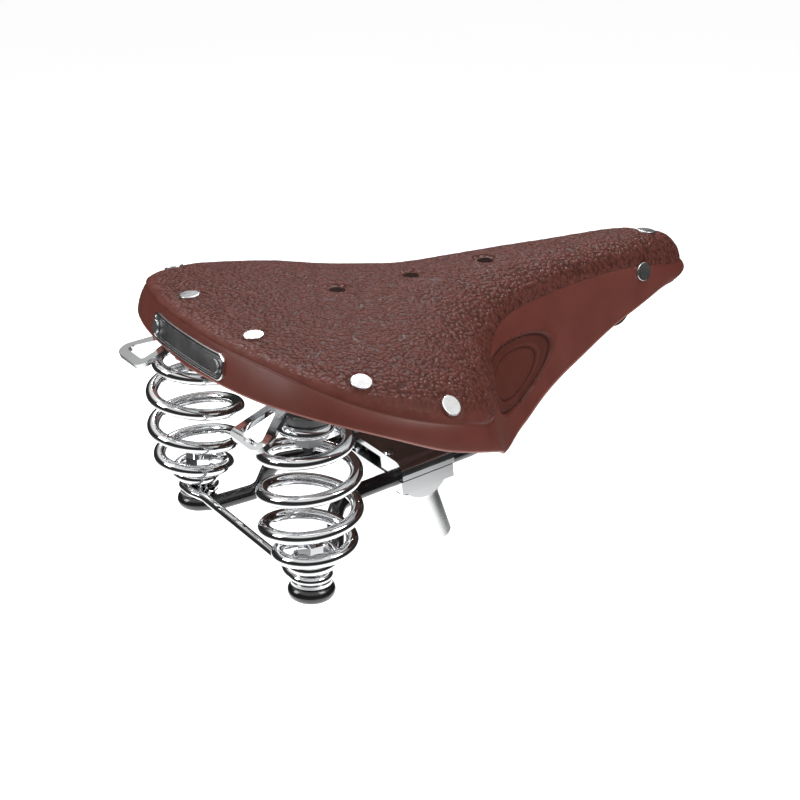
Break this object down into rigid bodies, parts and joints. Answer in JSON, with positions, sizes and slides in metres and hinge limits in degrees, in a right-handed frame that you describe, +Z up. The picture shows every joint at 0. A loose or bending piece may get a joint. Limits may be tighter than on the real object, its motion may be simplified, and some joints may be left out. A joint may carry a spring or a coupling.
{
  "type": "bicycle saddle",
  "caption": "Leather bicycle saddle sprung on coil springs, with rails, tensioner and a tilting, sliding clamp on a spigot for the seat post.",
  "frame": {"origin": "on the axis of the clamp spigot, at the level where the rim of the seat post meets the clamp head", "axes": "+X towards the nose, +Y to the left of the rider, +Z up"},
  "size_m": [0.2591, 0.2008, 0.1276],
  "materials": {
    "leather": "pebbled top, satin skirts",
    "plated_steel": "zinc plated",
    "badge_metal": "bright rim, dark field",
    "rivet_steel": "polished",
    "rail_paint": "gloss black",
    "chrome": "polished",
    "post_alloy": "satin"
  },
  "bodies": {
    "post": {"post_head": "post_alloy"},
    "clamp": {"lower_cradle": "chrome", "upper_cradle": "chrome", "clamp_screws": "chrome", "pivot_bolt": "chrome", "pivot_nut": "chrome", "pivot_washers": "chrome"},
    "frame": {"left_rail": "rail_paint", "right_rail": "rail_paint", "shackle": "chrome", "shackle_pin": "chrome", "left_spring": "chrome", "right_spring": "chrome", "tie_rod": "chrome", "spring_bottom_bolts": "chrome", "spring_bottom_nuts": "chrome", "rail_ring_washers": "chrome"},
    "top": {"leather_top": "leather", "cantle_plate": "plated_steel", "nose_piece": "plated_steel", "name_badge": "badge_metal", "badge_rivets": "rivet_steel", "rear_rivets": "rivet_steel", "nose_rivets": "rivet_steel", "tension_bolt": "plated_steel", "tension_nut": "plated_steel", "spring_top_bolts": "chrome", "spring_top_nuts": "chrome", "spring_top_washers": "chrome", "left_bag_loop": "chrome", "right_bag_loop": "chrome"}
  },
  "joints": [
    {"name": "clamp_tilt", "type": "hinge", "parent": "post", "child": "clamp", "pos_m": [-0.013, 0, 0.0216], "axis": [0, 1, 0], "range_deg": [-8, 8]},
    {"name": "rail_slide", "type": "slide", "parent": "clamp", "child": "frame", "axis": [0.9936, 0, 0.1132], "range_m": [-0.01, 0.01]},
    {"name": "spring_travel", "type": "hinge", "parent": "frame", "child": "top", "pos_m": [0.0973, 0, 0.0696], "axis": [0, -1, 0], "range_deg": [0, 5], "stiffness_Nm_per_rad": 1200, "deforming": ["left_spring", "right_spring"]}
  ]
}
